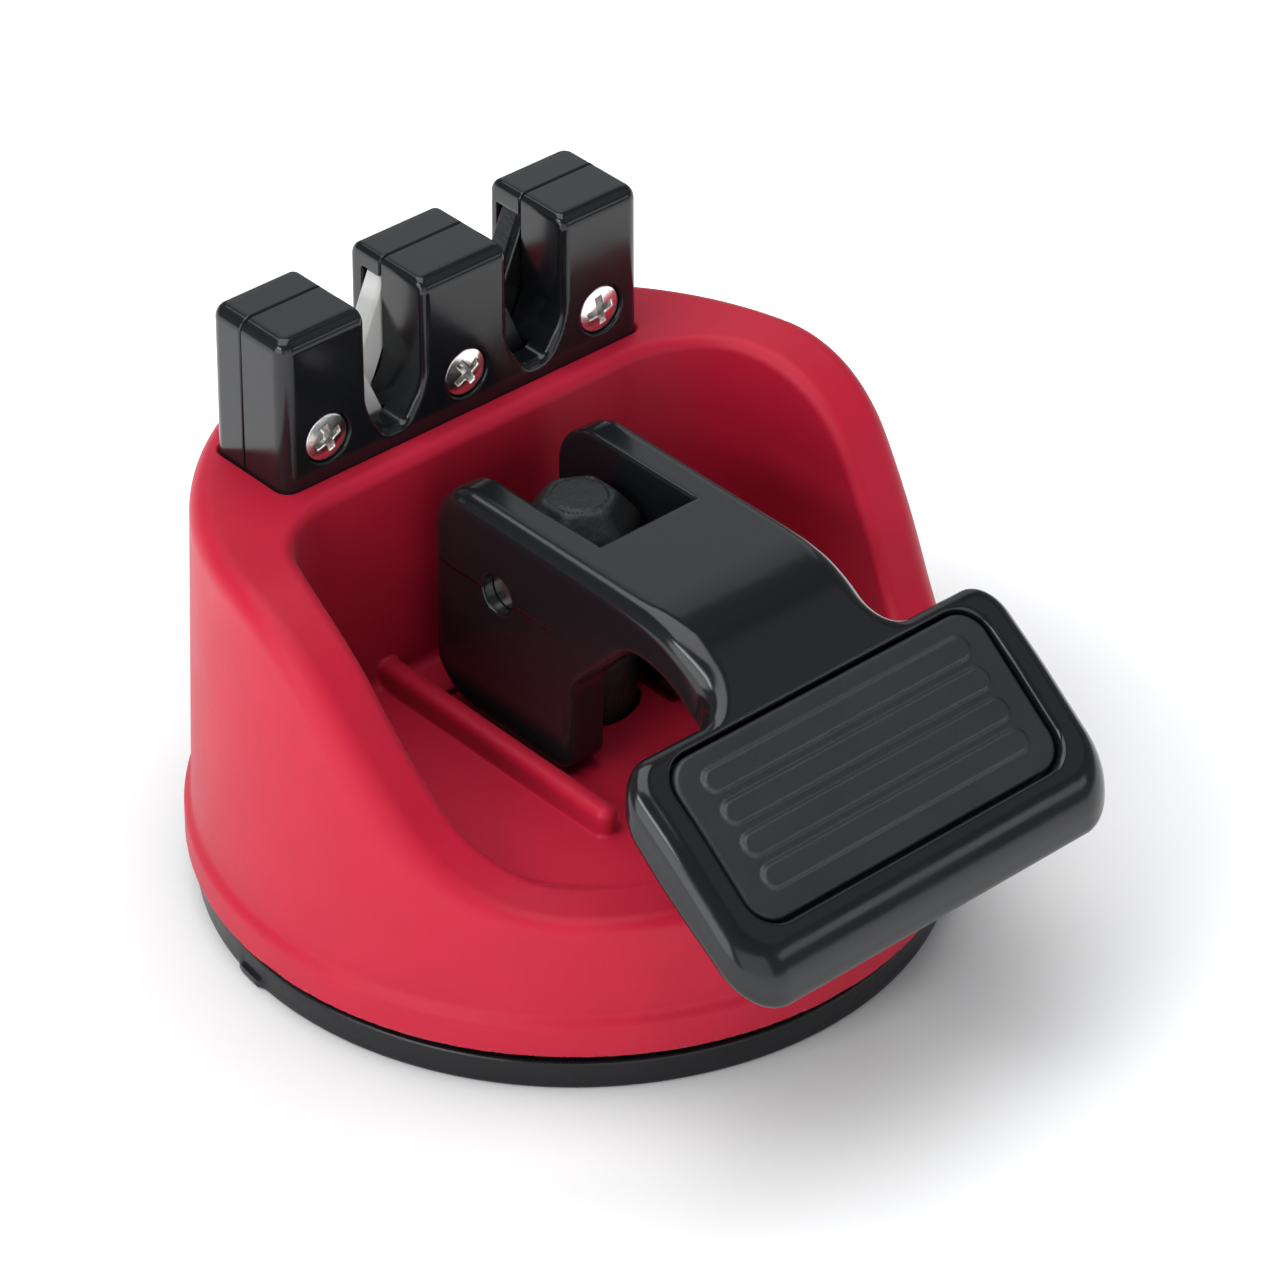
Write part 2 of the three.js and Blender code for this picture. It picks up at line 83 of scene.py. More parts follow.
PAD_RIBS, PAD_RIB_PITCH, PAD_RIB_HALF_LENGTH, PAD_RIB_HEIGHT = 4, 3.43, 15.6, 0.40
BLOCK_HALF, BLOCK_TOP, BLOCK_FOOT = 22.6, 61.1, 38.2
BLOCK_FRONT_Y, BLOCK_BACK_Y, PARTING_Y = 15.7, 27.1, 22.2
BLOCK_CORNER_R = 1.6
RECESS_LOW, RECESS_HIGH = (-22.95, 15.6, 38.05), (22.95, 27.2, 70)
SLOT_X, SLOT_HALF, SLOT_FLAT_HALF, SLOT_BOTTOM, SLOT_SHOULDER = 8.9, 3.5, 1.25, 46.2, 49.6
SCREW_X, SCREW_Z, SCREW_HEAD_R = 17.4, 48.8, 2.58
BAR_TILT, BAR_MEET_Z, BAR_BELOW, BAR_ABOVE, BAR_WIDTH = math.radians(23), 49.4, 5.0, 11.0, 3.0


# ---------- field operators ----------

def round_and(a, b, r):
    """Where both fields are inside, with the edge between them rounded to radius r."""
    return np.minimum(-r, np.maximum(a, b)) + np.hypot(np.maximum(r + a, 0), np.maximum(r + b, 0))


def round_or(a, b, r):
    """Where either field is inside, with the corner between them filled to radius r."""
    return np.maximum(r, np.minimum(a, b)) - np.hypot(np.maximum(r - a, 0), np.maximum(r - b, 0))


def minus(a, b, r):
    return round_and(a, -b, r)


def smooth(t):
    t = np.clip(t, 0, 1)
    return t * t * (3 - 2 * t)


def box_field(x, y, z, low, high):
    middle = [(a + b) / 2 for a, b in zip(low, high)]
    half = [(b - a) / 2 for a, b in zip(low, high)]
    sides = [np.abs(p - m) - h for p, m, h in zip((x, y, z), middle, half)]
    return np.maximum(np.maximum(sides[0], sides[1]), sides[2])


# ---------- meshing ----------

def slope(field, p):
    """Value and gradient of a field at points p."""
    tiny = 0.01
    value = field(p[:, 0], p[:, 1], p[:, 2])
    gradient = np.empty_like(p)
    for axis in range(3):
        ahead, behind = p.copy(), p.copy()
        ahead[:, axis] += tiny
        behind[:, axis] -= tiny
        gradient[:, axis] = (field(*ahead.T) - field(*behind.T)) / (2 * tiny)
    return value, gradient


def skin(field, low, high, step):
    """Surface of a field as points, quads and outward normals: one point in each cell the surface crosses."""
    axes = [np.arange(a - 1.5 * step, b + 2.5 * step, step) for a, b in zip(low, high)]
    shape = tuple(len(a) for a in axes)
    grid = np.empty(shape, np.float32)
    y, z = np.meshgrid(axes[1], axes[2], indexing="ij")
    for i, x in enumerate(axes[0]):
        grid[i] = field(np.full_like(y, x), y, z)
    inside = grid < 0
    cells, crossings, quads_ids = [], [], []
    for axis in range(3):
        unit = np.eye(3, dtype=int)[axis]
        near = [slice(None)] * 3
        far = [slice(None)] * 3
        near[axis], far[axis] = slice(0, -1), slice(1, None)
        start = np.argwhere(inside[tuple(near)] != inside[tuple(far)])
        first = grid[tuple(start.T)]
        last = grid[tuple((start + unit).T)]
        point = start + (first / (first - last))[:, None] * unit
        step_u = np.eye(3, dtype=int)[(axis + 1) % 3]
        step_w = np.eye(3, dtype=int)[(axis + 2) % 3]
        ring = [start, start - step_u, start - step_u - step_w, start - step_w]
        ids = np.stack([np.ravel_multi_index(tuple(c.T), shape) for c in ring], 1)
        outward_back = first >= 0
        ids[outward_back] = ids[outward_back][:, ::-1]
        quads_ids.append(ids)
        for column in range(4):
            cells.append(ids[:, column])
            crossings.append(point)
    cells = np.concatenate(cells)
    crossings = np.concatenate(crossings)
    kept, inverse = np.unique(cells, return_inverse=True)
    count = np.bincount(inverse)
    points = np.stack([np.bincount(inverse, crossings[:, k]) / count for k in range(3)], 1)
    points = points * step + np.array([a[0] for a in axes])
    quads = np.searchsorted(kept, np.concatenate(quads_ids))
    for _ in range(4):
        value, gradient = slope(field, points)
        steepness = np.maximum((gradient ** 2).sum(1), 0.05)
        move = -(value / steepness)[:, None] * gradient
        points += np.clip(move, -step, step)
    _, gradient = slope(field, points)
    normals = gradient / np.maximum(np.linalg.norm(gradient, axis=1), 1e-6)[:, None]
    return points, quads, normals


def base_mesh(name, points, faces, smooth_faces=True):
    """A mesh in the frame's metres from points in base millimetres."""
    mesh = bpy.data.meshes.new(name)
    mesh.from_pydata((points * MM + np.array([0, BASE_Y, 0])).tolist(), [], faces)
    mesh.polygons.foreach_set("use_smooth", np.full(len(mesh.polygons), smooth_faces))
    mesh.update()
    return mesh


def add_piece(mesh, material, body, node):
    """Puts a mesh in the scene as the visible piece for one CAD node."""
    piece = bpy.data.objects.new(mesh.name, mesh)
    bpy.context.scene.collection.objects.link(piece)
    mesh.materials.append(material)
    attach(piece, body)
    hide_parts(node)
    return piece


def skin_mesh(name, points, quads, normals, place=None):
    """A smooth mesh with exact normals. place turns the piece's own millimetres into base millimetres."""
    if place is not None:
        turn = np.array(place)
        points = points @ turn[:3, :3].T + turn[:3, 3]
        normals = normals @ turn[:3, :3].T
    mesh = base_mesh(name, points, quads.tolist())
    mesh.normals_split_custom_set_from_vertices(normals.tolist())
    return mesh


def field_mesh(name, field, low, high, step, place=None):
    return skin_mesh(name, *skin(field, low, high, step), place)


# ---------- housing ----------

def sweep_field(y, z):
    """Height above the line that runs from the crown down the sweep to the floor."""
    fall = CROWN_Z - FLOOR_Z
    sin, cos = math.sin(SWEEP_ANGLE), math.cos(SWEEP_ANGLE)
    straight = (fall - 2 * SWEEP_R * (1 - cos)) / sin
    front_y = SWEEP_REAR_Y - 2 * SWEEP_R * sin - straight * cos
    high_y, high_z = SWEEP_REAR_Y, CROWN_Z - SWEEP_R
    low_y, low_z = front_y, FLOOR_Z + SWEEP_R
    from_foot = (y - (low_y + SWEEP_R * sin)) * cos + (z - (low_z - SWEEP_R * cos)) * sin
    to_line = -(y - (high_y - SWEEP_R * sin)) * sin + (z - (high_z + SWEEP_R * cos)) * cos
    high_arc = np.where(z < high_z, -SWEEP_R, np.hypot(y - high_y, z - high_z) - SWEEP_R)
    low_arc = np.where(z > low_z, SWEEP_R, SWEEP_R - np.hypot(y - low_y, z - low_z))
    sloped = np.where(from_foot > straight, high_arc, np.where(from_foot < 0, low_arc, to_line))
    return np.where(y > high_y, z - CROWN_Z, np.where(y < low_y, z - FLOOR_Z, sloped))


def sweep_height(y):
    """Height of the sweep above the floor, close enough to fade the rim's rounding out."""
    run = SWEEP_REAR_Y + 31.0
    return (CROWN_Z - FLOOR_Z) * smooth((y + 31.0) / run)


def bay_field(x, y):
    circle = np.hypot(x, y - BAY_CENTRE_Y) - BAY_R
    return round_and(circle, y - BAY_BACK_Y, BAY_CORNER_R)


def housing_skin_field(x, y, z):
    """Outside of the housing, without its underside, its block recess or its ribs."""
    r = np.hypot(x, y)
    wall_r = FOOT_R + (CROWN_R - FOOT_R) * (z - FLANGE_TOP) / (CROWN_Z - FLANGE_TOP)
    sweep = sweep_field(y, z)
    climb = sweep_height(y)
    upper = round_and(r - wall_r, sweep, 1.5 + 0.8 * smooth(climb / 10.0))
    rim = np.clip(0.42 * climb, 0.01, 1.4)
    bay = round_and(bay_field(x, y), FLOOR_Z - z, 1.0)
    upper = round_and(upper, -bay, rim)
    flange = round_and(r - FLANGE_R, z - FLANGE_TOP, 0.7)
    return round_or(upper, flange, 1.0)


def housing_field(x, y, z):
    outside = housing_skin_field(x, y, z)
    rib_x = np.abs(x) - RIB_X
    rib_y = np.minimum(y - RIB_FRONT_Y, 0)
    rib = np.maximum(np.hypot(rib_x, rib_y) - RIB_HALF, y - BAY_BACK_Y - 1)
    rib = np.maximum(round_and(rib, z - RIB_TOP, 1.0), FLOOR_Z - 1 - z)
    solid = round_or(outside, rib, 0.35)
    solid = round_and(solid, FLANGE_LOW - z, 0.35)
    recess = box_field(x, y, z, RECESS_LOW, RECESS_HIGH)
    recess_wall = 2.4
    hollow = np.maximum(outside + WALL, recess_wall - recess)
    r = np.hypot(x, y)
    stem_r = np.hypot(x, y - PIN_Y)
    hollow = np.maximum(hollow, np.minimum(GUIDE_R - stem_r, z - GUIDE_BOTTOM))
    ledge = np.maximum(np.maximum(LEDGE_R - r, LEDGE_BOTTOM - z), z - LEDGE_TOP)
    hollow = np.maximum(hollow, -ledge)
    solid = minus(solid, hollow, 0.4)
    solid = minus(solid, np.maximum(r - SOCKET_R, z - LEDGE_BOTTOM), 0.3)
    solid = minus(solid, stem_r - STEM_BORE_R, 0.4)
    seat_x = np.abs(np.abs(x) - CAM_SEAT_X) - CAM_SEAT_HALF
    seat = np.maximum(np.maximum(seat_x, np.abs(y) - CAM_SEAT_REACH), CAM_SEAT_Z - z)
    return minus(solid, seat, 0.35)


def cut_pocket(piece, low, high, corner):
    """Cuts a box with rounded upright edges, given in base millimetres, out of a piece."""
    tool_mesh = bpy.data.meshes.new("tool")
    shell = bmesh.new()
    bmesh.ops.create_cube(shell, size=1)
    size = [(b - a) * MM for a, b in zip(low, high)]
    middle = [(a + b) / 2 * MM for a, b in zip(low, high)]
    bmesh.ops.scale(shell, vec=size, verts=shell.verts)
    bmesh.ops.translate(shell, vec=(middle[0], middle[1] + BASE_Y, middle[2]), verts=shell.verts)
    upright = [e for e in shell.edges if abs(e.verts[0].co.z - e.verts[1].co.z) > MM]
    bmesh.ops.bevel(shell, geom=upright, offset=corner * MM, segments=8, profile=0.5, affect="EDGES")
    shell.to_mesh(tool_mesh)
    shell.free()
    tool = bpy.data.objects.new("tool", tool_mesh)
    bpy.context.scene.collection.objects.link(tool)
    cut = piece.modifiers.new("cut", "BOOLEAN")
    cut.operation, cut.solver, cut.object = "DIFFERENCE", "EXACT", tool
    bpy.context.view_layer.update()
    result = bpy.data.meshes.new_from_object(piece.evaluated_get(bpy.context.evaluated_depsgraph_get()))
    piece.modifiers.clear()
    bpy.data.objects.remove(tool)
    piece.data = result
    result.set_sharp_from_angle(angle=math.radians(40))


# ---------- lever ----------

def bend_height(y, z):
    """Height over the centre line of the bend: flat behind it, round in it, tilted in front of it."""
    u, v = BEND_Y - y, z - (ARM_TOP - BEND_R)
    along = u * math.cos(TILT) - v * math.sin(TILT)
    tilted = u * math.sin(TILT) + v * math.cos(TILT)
    return np.where(u < 0, v, np.where(along < 0, np.hypot(u, v), tilted))


def toward_paddle(y, start, length):
    """0 behind start, 1 once y has gone a length further towards the paddle, and smooth between."""
    return smooth((start - y) / length)


def lever_plan(ax, y):
    """Seen from above: a narrow arm that flares into the wide paddle."""
    paddle = round_and(ax - PADDLE_HALF, PADDLE_NEAR_Y - y, PADDLE_NEAR_CORNER)
    paddle = round_and(paddle, y - PADDLE_FAR_Y, PADDLE_FAR_CORNER)
    arm = np.maximum(ax - LEVER_HALF, PADDLE_FAR_Y - 5 - y)
    return round_or(arm, paddle, FLARE_R)


def lever_solid(x, y, z):
    """Arm, cheeks and paddle with rolled edges, before the slot, the hole and the pad's seat are cut."""
    back = y - CHEEK_BACK_Y
    height = bend_height(y, z)
    rise = 0.5 * toward_paddle(y, -32.5, 9.0)
    top = round_and(height - BEND_R - rise, back, HEEL_R)
    thickness = ARM_THICK - 0.86 * toward_paddle(y, -28.0, 4.0) - 0.8 * toward_paddle(y, -38.0, 12.0)
    under = BEND_R - thickness - height
    front = CHEEK_FRONT_Y - y
    slant = ((CHEEK_FRONT_Y - y) * NOTCH_RISE - (z - NOTCH_Z) * NOTCH_RUN) / math.hypot(NOTCH_RISE, NOTCH_RUN)
    cheek = round_and(round_or(front, slant, 1.0), CHEEK_BOTTOM - z, 2.0)
    low = round_and(round_or(under, cheek, 1.0), back, CAM_R)
    depth = BEND_R + rise - height
    draft = 0.14 * (3.0 - depth) * toward_paddle(y, -24.0, 7.0)
    plan = lever_plan(np.abs(x), y) + draft
    roll = 2.1 + 0.3 * toward_paddle(y, -18.0, 6.0) - 0.3 * toward_paddle(y, -30.0, 6.0)
    lower_roll = 1.0 + 0.9 * toward_paddle(y, -29.0, 5.0)
    return np.maximum(round_and(top, plan, roll), round_and(low, plan, lower_roll))


def lever_field(x, y, z):
    solid = lever_solid(x, y, z)
    ax = np.abs(x)
    slot = np.maximum(ax - CHEEK_GAP_HALF, SLOT_FRONT_Y - y)
    web = np.maximum(np.maximum(ax - CHEEK_GAP_HALF, WEB_FRONT_Y - y), z - (ARM_TOP - ARM_THICK))
    solid = minus(solid, np.minimum(slot, web), 0.45)
    seam_length = np.maximum(-8.5 - y, y - 12)  # a fine mould line across each cheek, at the pin's height
    seam = np.maximum(np.hypot(ax - LEVER_HALF, z - PIN_Z) - 0.09, seam_length)
    solid = round_or(solid, seam, 0.08)
    solid = minus(solid, np.hypot(y - PIN_Y, z - PIN_Z) - PIN_HOLE_R, 0.35)
    across, up = pad_axes(y, z)
    seat = np.maximum(pad_plan(x, across, 0.0), -1.9 - up)
    return minus(solid, seat, 0.6)


def pad_axes(y, z):
    """Distance up the paddle's slope from the pad's upper edge, and height over the pad's plane."""
    across = (y - PAD_Y) * math.cos(TILT) + (z - PAD_Z) * math.sin(TILT)
    up = (z - PAD_Z) * math.cos(TILT) - (y - PAD_Y) * math.sin(TILT)
    return across, up


def pad_plan(x, across, inset):
    corner = PAD_CORNER_R - inset
    side = round_and(np.abs(x) - (PAD_HALF - inset), across + inset, corner)
    return round_and(side, -across - (PAD_LENGTH - inset), corner)


def pad_field(x, across, up):
    """The tread plate in the paddle's own plane, with its raised ribs."""
    plate = round_and(pad_plan(x, across, 0.35), up, 0.5)
    for i in range(PAD_RIBS):
        middle = -3.6 - PAD_RIB_PITCH * i
        rib = np.hypot(np.maximum(np.abs(x) - PAD_RIB_HALF_LENGTH, 0), across - middle) - 1.2
        plate = round_or(plate, round_and(rib, up - PAD_RIB_HEIGHT, 0.38), 0.3)
    return np.maximum(plate, -1.6 - up)


# ---------- sharpening block ----------

def block_field(x, y, z):
    draft = 0.006
    half = BLOCK_HALF + draft * (BLOCK_TOP - z)
    lean = draft * (z - BLOCK_FOOT)
    middle_y = (BLOCK_BACK_Y + BLOCK_FRONT_Y) / 2
    depth = (BLOCK_BACK_Y - BLOCK_FRONT_Y) / 2 - lean
    sides = round_and(np.abs(x) - half, np.abs(y - middle_y) - depth, BLOCK_CORNER_R)
    block = round_and(sides, z - BLOCK_TOP, 1.5)
    block = np.maximum(block, BLOCK_FOOT - z)
    from_slot = np.abs(np.abs(x) - SLOT_X)
    fall, run = SLOT_SHOULDER - SLOT_BOTTOM, SLOT_HALF - SLOT_FLAT_HALF
    slope_side = ((from_slot - SLOT_HALF) * fall - (z - SLOT_SHOULDER) * run) / math.hypot(fall, run)
    slot = round_and(from_slot - SLOT_HALF, slope_side, 0.8)
    slot = round_and(slot, SLOT_BOTTOM - z, 0.5)
    return minus(block, slot, 0.85)


def bar_boxes(rear):
    """Middle x, lean and depth of the two bars in one half of the block: pale left, dark right."""
    lean = 1 if rear else -1
    return [(-SLOT_X, lean, 2.3), (SLOT_X, lean, 2.9)]


def half_field(rear):
    """One half of the block, with the grooves for its bars and the holes for the screws."""
    side = 1 if rear else -1

    def field(x, y, z):
        half = round_and(block_field(x, y, z), side * (PARTING_Y - y) + 0.04, 0.14)
        for middle, lean, depth in bar_boxes(rear):
            u = lean * (x - middle)
            across = u * math.cos(BAR_TILT) - (z - BAR_MEET_Z) * math.sin(BAR_TILT)
            along = u * math.sin(BAR_TILT) + (z - BAR_MEET_Z) * math.cos(BAR_TILT)
            inward = side * (y - PARTING_Y)
            groove = np.maximum(np.abs(across - 1.5) - 1.8, np.abs(along - 3) - 8.3)
            half = minus(half, np.maximum(groove, inward - depth - 0.45), 0.2)
        for screw_x in (-SCREW_X, 0, SCREW_X):
            from_axis = np.hypot(x - screw_x, z - SCREW_Z)
            hole = np.maximum(from_axis - 1.45, y - BLOCK_BACK_Y + 1)
            if not rear:
                hole = np.minimum(hole, np.maximum(from_axis - 2.66, y - BLOCK_FRONT_Y - 1.9))
            half = minus(half, hole, 0.18)
        return half

    return field


def bar_mesh(depth, ground):
    """A bar in its own axes: x across, y into the block, z along. One long edge is ground to a bevel."""
    shell = bmesh.new()
    outline = [(0, ground), (ground * 0.8, 0), (BAR_WIDTH, 0), (BAR_WIDTH, depth), (0, depth)]
    rings = []
    for z in (-BAR_BELOW, BAR_ABOVE):
        rings.append([shell.verts.new((x, y, z)) for x, y in outline])
    for i in range(len(outline)):
        j = (i + 1) % len(outline)
        shell.faces.new((rings[0][i], rings[0][j], rings[1][j], rings[1][i]))
    shell.faces.new(list(reversed(rings[0])))
    shell.faces.new(rings[1])
    bmesh.ops.bevel(shell, geom=shell.edges[:], offset=0.14, segments=3, profile=0.5, affect="EDGES")
    bmesh.ops.triangulate(shell, faces=[f for f in shell.faces if len(f.verts) > 4])
    return shell


# ---------- screws, stem, pin, cup ----------

def screw_field(x, y, z):
    """A pan-head screw with a cross recess, its outer side up at z = 0."""
    r = np.hypot(x, y)
    dome = np.sqrt(r * r + (z + 9) ** 2) - 9.28
    head = round_and(round_and(r - SCREW_HEAD_R, dome, 0.2), -1.3 - z, 0.1)
    ax, ay = np.abs(x), np.abs(y)
    narrowing = 0.12 * z
    arm_half, arm_reach = 0.36 + narrowing, 1.5 + narrowing * 3
    arm_a = np.maximum(ax - arm_reach, ay - arm_half)
    arm_b = np.maximum(ay - arm_reach, ax - arm_half)
    cross = np.maximum(round_or(arm_a, arm_b, 0.25), -1.0 - z)
    head = minus(head, cross, 0.09)
    thread = 0.12 * np.abs(((z / 1.1) % 1) - 0.5)
    shank = np.maximum(np.maximum(r - 1.25 + thread, z + 1.0), -8.4 - z)
    return np.minimum(head, shank)


def stem_field(x, y, z):
    """The rubber stem about its own axis: a thin foot, a round shank and a six-sided, chamfered head."""
    angles = [0, math.radians(60), math.radians(120)]
    faces = [np.abs(x * math.cos(a) + y * math.sin(a)) - STEM_HALF_FLATS for a in angles]
    head = round_and(round_and(faces[0], faces[1], 0.7), faces[2], 0.7)
    chamfers = [f * 0.8115 + (z - 40.0) * 0.5843 for f in faces]
    for chamfer in chamfers:
        head = round_and(head, chamfer, 0.5)
    head = round_and(head, z - STEM_TOP, 0.5)
    head = np.maximum(head, 29.0 - z)
    r = np.hypot(x, y)
    ring_groove = np.hypot(r - 3.0, z - STEM_TOP - 0.14) - 0.32
    head = minus(head, ring_groove, 0.08)
    shank = np.maximum(r - STEM_R, z - 30)
    foot = round_and(r - 7.3, z - 5.2, 0.3)
    stem = np.maximum(round_or(np.minimum(head, shank), foot, 1.2), 3.5 - z)
    return minus(stem, np.hypot(y, z - PIN_Z) - 2.05, 0.2)


def turned_mesh(profile, segments):
    """Points and quads of a closed profile of (radius, height) pairs turned about Z."""
    count = len(profile)
    angles = np.arange(segments) * 2 * math.pi / segments
    radius, height = np.array(profile).T
    points = np.stack([np.outer(np.cos(angles), radius), np.outer(np.sin(angles), radius),
                       np.tile(height, (segments, 1))], -1).reshape(-1, 3)
    quads = []
    for i in range(segments):
        for j in range(count):
            a, b = i * count + j, i * count + (j + 1) % count
            c, d = ((i + 1) % segments) * count + (j + 1) % count, ((i + 1) % segments) * count + j
            quads.append((a, d, c, b))
    return points, quads


def arc(centre_r, centre_z, radius, start, end, steps=6):
    angles = [math.radians(start + (end - start) * i / steps) for i in range(steps + 1)]
    return [(centre_r + radius * math.cos(a), centre_z + radius * math.sin(a)) for a in angles]


# ---------- finishes ----------

def node_material(name, color, roughness, bump=(), metallic=0.0, sheen=0.0, mottle=0.0, smudge=0.0,
                  specular=0.5, bounce=None):
    """A finish with noise in its colour, roughness and relief.

    bump lists (noise scale per metre, height in millimetres). bounce is the colour that diffuse light sees.
    """
    material = bpy.data.materials.new(name)
    material.use_nodes = True
    nodes, links = material.node_tree.nodes, material.node_tree.links
    shader = nodes["Principled BSDF"]
    shader.inputs["Metallic"].default_value = metallic
    shader.inputs["Specular IOR Level"].default_value = specular
    shader.inputs["Sheen Weight"].default_value = sheen
    shader.inputs["Sheen Roughness"].default_value = 0.4
    where = nodes.new("ShaderNodeTexCoord").outputs["Object"]

    def noise(scale, detail=3.0):
        node = nodes.new("ShaderNodeTexNoise")
        node.inputs["Scale"].default_value = scale
        node.inputs["Detail"].default_value = detail
        links.new(where, node.inputs["Vector"])
        return node.outputs["Fac"]

    def spread(value, low, high):
        node = nodes.new("ShaderNodeMapRange")
        node.inputs["From Min"].default_value = 0.3
        node.inputs["From Max"].default_value = 0.7
        node.inputs["To Min"].default_value = low
        node.inputs["To Max"].default_value = high
        links.new(value, node.inputs["Value"])
        return node.outputs["Result"]

    tint = nodes.new("ShaderNodeMix")
    tint.data_type = "RGBA"
    tint.inputs["A"].default_value = (*[c * (1 - mottle) for c in color], 1)
    tint.inputs["B"].default_value = (*[min(1, c * (1 + mottle)) for c in color], 1)
    links.new(spread(noise(160.0), 0, 1), tint.inputs["Factor"])
    base = tint.outputs["Result"]
    if bounce is not None:
        path = nodes.new("ShaderNodeLightPath")
        switch = nodes.new("ShaderNodeMix")
        switch.data_type = "RGBA"
        switch.inputs["B"].default_value = (*bounce, 1)
        links.new(path.outputs["Is Diffuse Ray"], switch.inputs["Factor"])
        links.new(base, switch.inputs["A"])
        base = switch.outputs["Result"]
    links.new(base, shader.inputs["Base Color"])
    links.new(spread(noise(90.0, 5.0), roughness - smudge, roughness + smudge), shader.inputs["Roughness"])
    previous = None
    for scale, height in bump:
        relief = nodes.new("ShaderNodeBump")
        relief.inputs["Distance"].default_value = height * MM
        relief.inputs["Strength"].default_value = 1.0
        links.new(noise(scale, 2.0), relief.inputs["Height"])
        if previous is not None:
            links.new(previous, relief.inputs["Normal"])
        previous = relief.outputs["Normal"]
    if previous is not None:
        links.new(previous, shader.inputs["Normal"])
    return material


RED = node_material("soft_red", (0.47, 0.0065, 0.031), 0.52, [(4200, 0.012), (420, 0.03)],
                    sheen=0.05, mottle=0.03, smudge=0.04, specular=0.28, bounce=(0.16, 0.03, 0.04))
BLACK = node_material("gloss_black", (0.008, 0.0085, 0.010), 0.16, [(260, 0.02)], smudge=0.03, specular=0.41)
RUBBER = node_material("rubber", (0.006, 0.0065, 0.008), 0.27, [(3000, 0.015), (500, 0.04)],
                       mottle=0.2, smudge=0.06, specular=0.36)
STEM_RUBBER = node_material("stem_rubber", (0.0085, 0.0092, 0.0105), 0.55, [(2600, 0.05), (700, 0.1)],
                            mottle=0.3, smudge=0.08)
PAD = node_material("pad_grain", (0.018, 0.0195, 0.022), 0.44, [(3600, 0.035)], mottle=0.1, smudge=0.04)
ZINC = node_material("bright_zinc", (0.82, 0.82, 0.80), 0.2, [(1500, 0.02)],
                     metallic=1.0, mottle=0.06, smudge=0.08)
CERAMIC = node_material("ceramic", (0.80, 0.80, 0.78), 0.35, [(2400, 0.012)], mottle=0.03, smudge=0.06)
CARBIDE = node_material("carbide", (0.07, 0.072, 0.078), 0.32, [(2600, 0.02)],
                        metallic=0.9, mottle=0.1, smudge=0.1)


# ---------- building the pieces ----------

def build_housing():
    mesh = field_mesh("housing_shell", housing_field, (-39, -39, 4.4), (39, 39, 43.8), 0.42)
    housing = add_piece(mesh, RED, "base", "housing")
    cut_pocket(housing, RECESS_LOW, RECESS_HIGH, BLOCK_CORNER_R)


def build_lever():
    body = field_mesh("lever_body", lever_field, (-24, -52.4, 18), (24, 9.7, 45), 0.32)
    add_piece(body, BLACK, "lever", "lever")
    pad_place = Matrix.Translation((0, PAD_Y, PAD_Z)) @ Matrix.Rotation(TILT, 4, "X")
    pad = field_mesh("tread_pad", pad_field, (-20, -18, -1.7), (20, 0, 0.6), 0.22, pad_place)
    add_piece(pad, PAD, "lever", "lever_pad")


def build_block():
    halves = (
        ("block_front", "block_front_half", False, 15.5, 22.4),
        ("block_rear", "block_rear_half", True, 22.0, 27.3),
    )
    for name, node, rear, low_y, high_y in halves:
        mesh = field_mesh(name, half_field(rear), (-23.1, low_y, 38), (23.1, high_y, 61), 0.24)
        add_piece(mesh, BLACK, "base", node)


def build_bar(rear, middle, lean, depth, kind, material):
    node = f"{kind}_{'rear' if rear else 'front'}"
    is_rod = kind == "ceramic_rod"
    shell = bar_mesh(depth, 0.35 if is_rod else 0.6)
    inward = 1 if rear else -1
    turn = (Matrix.Translation((middle, PARTING_Y + 0.15 * inward, BAR_MEET_Z))
            @ Matrix.Diagonal((lean, inward, 1, 1))
            @ Matrix.Rotation(BAR_TILT, 4, "Y"))
    shell.transform(turn)
    if turn.determinant() < 0:
        bmesh.ops.reverse_faces(shell, faces=shell.faces)
    shell.normal_update()
    shell.verts.index_update()
    points = np.array([v.co for v in shell.verts])
    faces = [[v.index for v in f.verts] for f in shell.faces]
    shell.free()
    mesh = base_mesh(node + "_bar", points, faces, smooth_faces=False)
    add_piece(mesh, material, "base", node)


def build_bars():
    finishes = (("ceramic_rod", CERAMIC), ("carbide_blade", CARBIDE))
    for rear in (True, False):
        for (middle, lean, depth), (kind, material) in zip(bar_boxes(rear), finishes):
            build_bar(rear, middle, lean, depth, kind, material)


def build_clamp_screws():
    surface = skin(screw_field, (-2.6, -2.6, -8.5), (2.6, 2.6, 0.4), 0.1)
    for side, x, spin in (("left", -SCREW_X, 0.35), ("middle", 0, 0.55), ("right", SCREW_X, 0.2)):
        place = (Matrix.Translation((x, BLOCK_FRONT_Y + 0.3, SCREW_Z))
                 @ Matrix.Rotation(math.radians(90), 4, "X")
                 @ Matrix.Rotation(spin, 4, "Z"))
        mesh = skin_mesh(f"clamp_screw_{side}_head", *surface, place)
        add_piece(mesh, ZINC, "base", f"clamp_screw_{side}")


def build_stem():
    place = Matrix.Translation((0, PIN_Y, 0))
    mesh = field_mesh("stem", stem_field, (-7.5, -7.5, 3.4), (7.5, 7.5, 43.1), 0.28, place)
    add_piece(mesh, STEM_RUBBER, "stem", "cup_stem")


